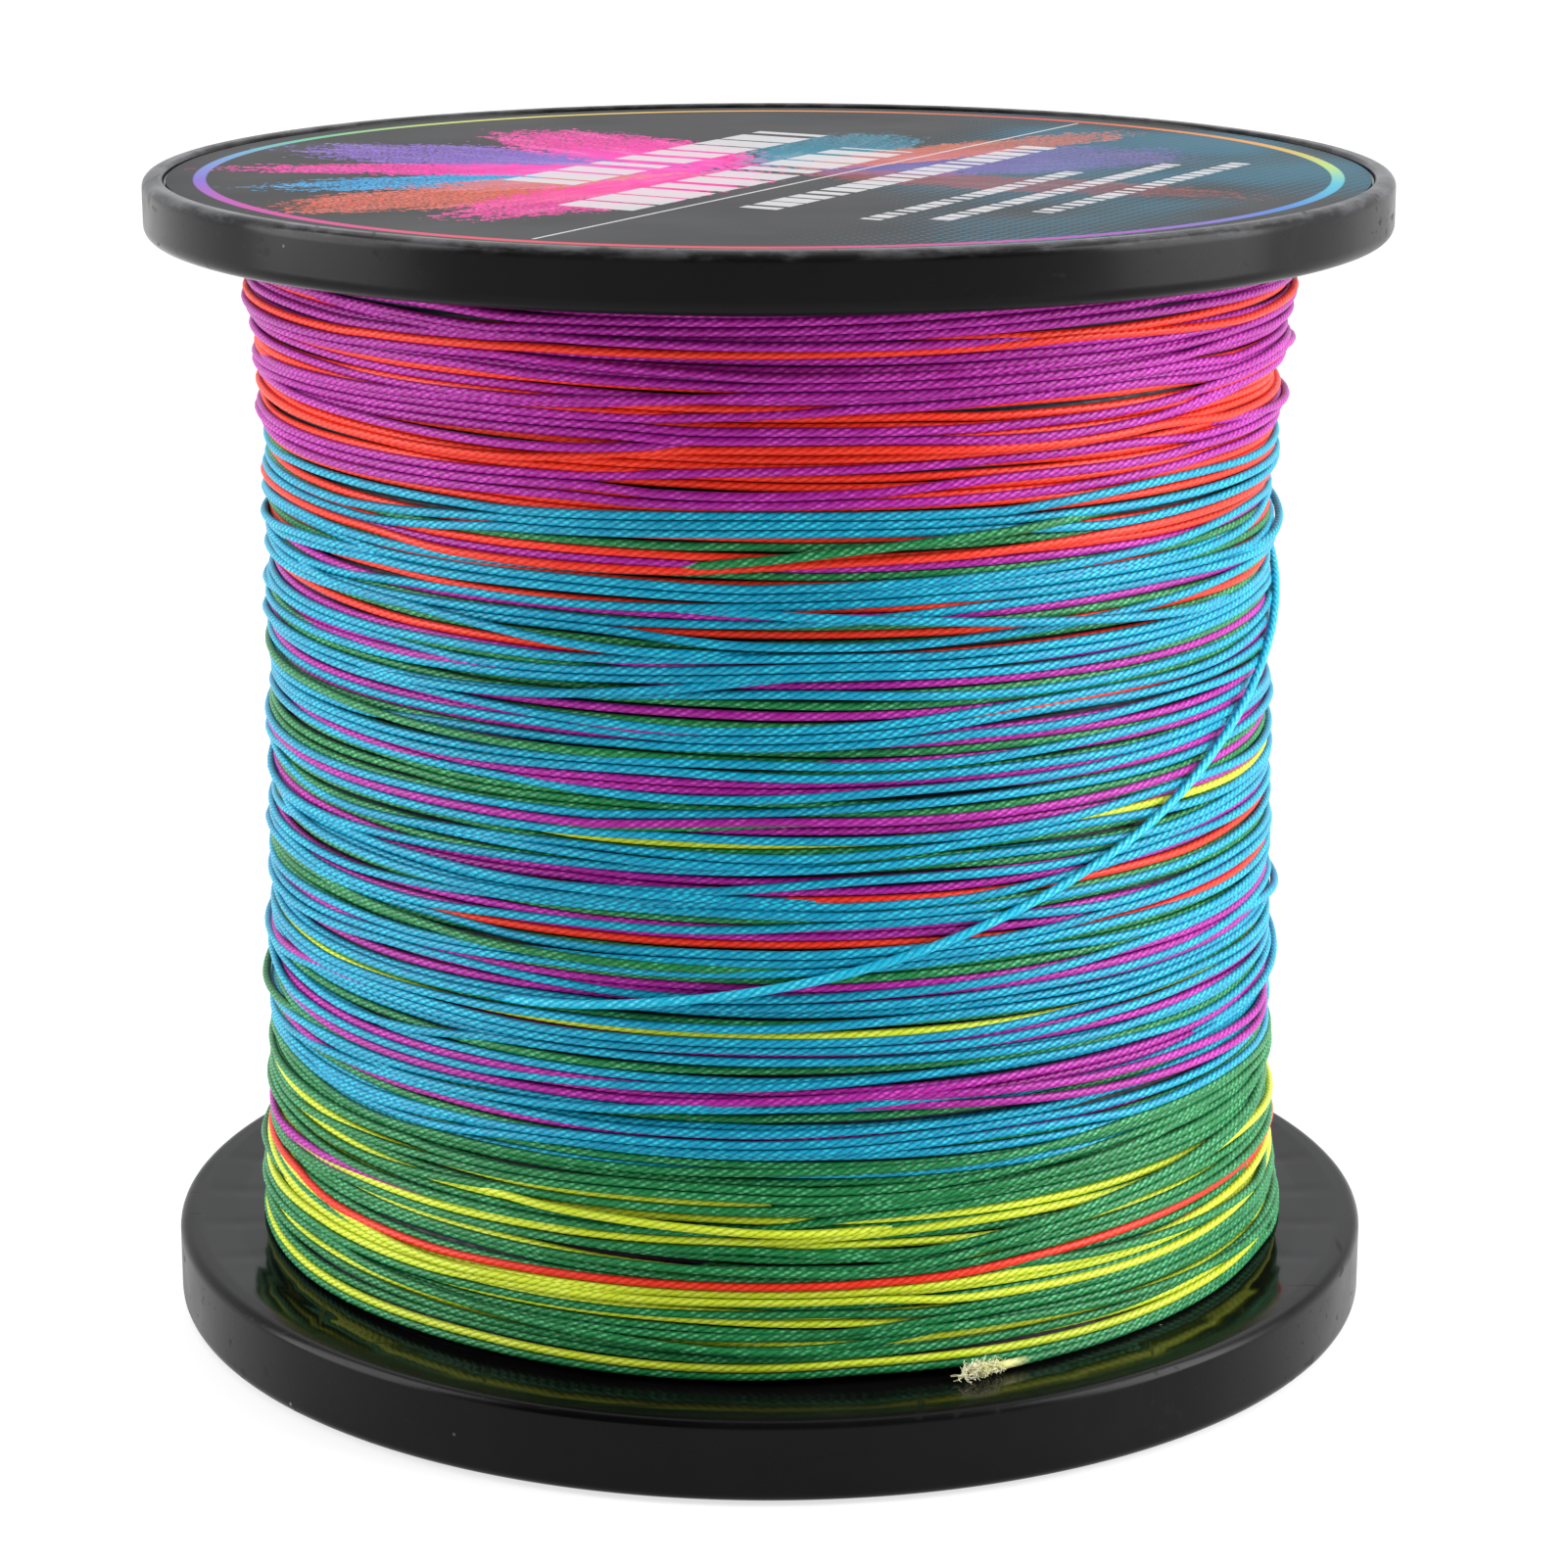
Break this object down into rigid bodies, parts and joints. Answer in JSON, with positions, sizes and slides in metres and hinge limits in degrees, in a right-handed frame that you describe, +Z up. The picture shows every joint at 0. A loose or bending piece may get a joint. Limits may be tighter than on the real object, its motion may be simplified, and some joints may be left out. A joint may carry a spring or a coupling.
{
  "type": "fishing line spool",
  "caption": "Flanged plastic spool wound full with multicolour braided fishing line, with a printed label on its upper face and a spindle bore below.",
  "frame": {"origin": "centre of the base, where the spindle axis meets the surface that the spool stands on", "axes": "+Z up along the spindle axis, -Y towards the side where the loose line end lies"},
  "size_m": [0.09, 0.09, 0.0845],
  "materials": {
    "black_plastic": "glossy black moulded plastic with fine handling scratches",
    "printed_film": "printed gloss film, abstract colour burst on dark grey",
    "card": "plain card, light grey print",
    "tape": "matte adhesive tape",
    "line_inner": "wound braided line, mixed colours in shade",
    "line_yellow": "braided polyethylene line, waxy sheen",
    "line_red": "braided polyethylene line, waxy sheen",
    "line_green": "braided polyethylene line, waxy sheen",
    "line_blue": "braided polyethylene line, waxy sheen",
    "line_purple": "braided polyethylene line, waxy sheen",
    "line_tag": "pale frayed braid end"
  },
  "bodies": {
    "root": {"lower_flange": "black_plastic", "upper_flange": "black_plastic", "core_barrel": "black_plastic", "upper_label": "printed_film", "lower_label": "card", "anchor_tape": "tape", "line_inner_pack": "line_inner", "line_yellow_stretch": "line_yellow", "line_red_stretch": "line_red", "line_green_stretch": "line_green", "line_blue_stretch": "line_blue", "line_purple_stretch": "line_purple", "line_crossing": "line_blue", "line_tag": "line_tag"}
  },
  "joints": []
}
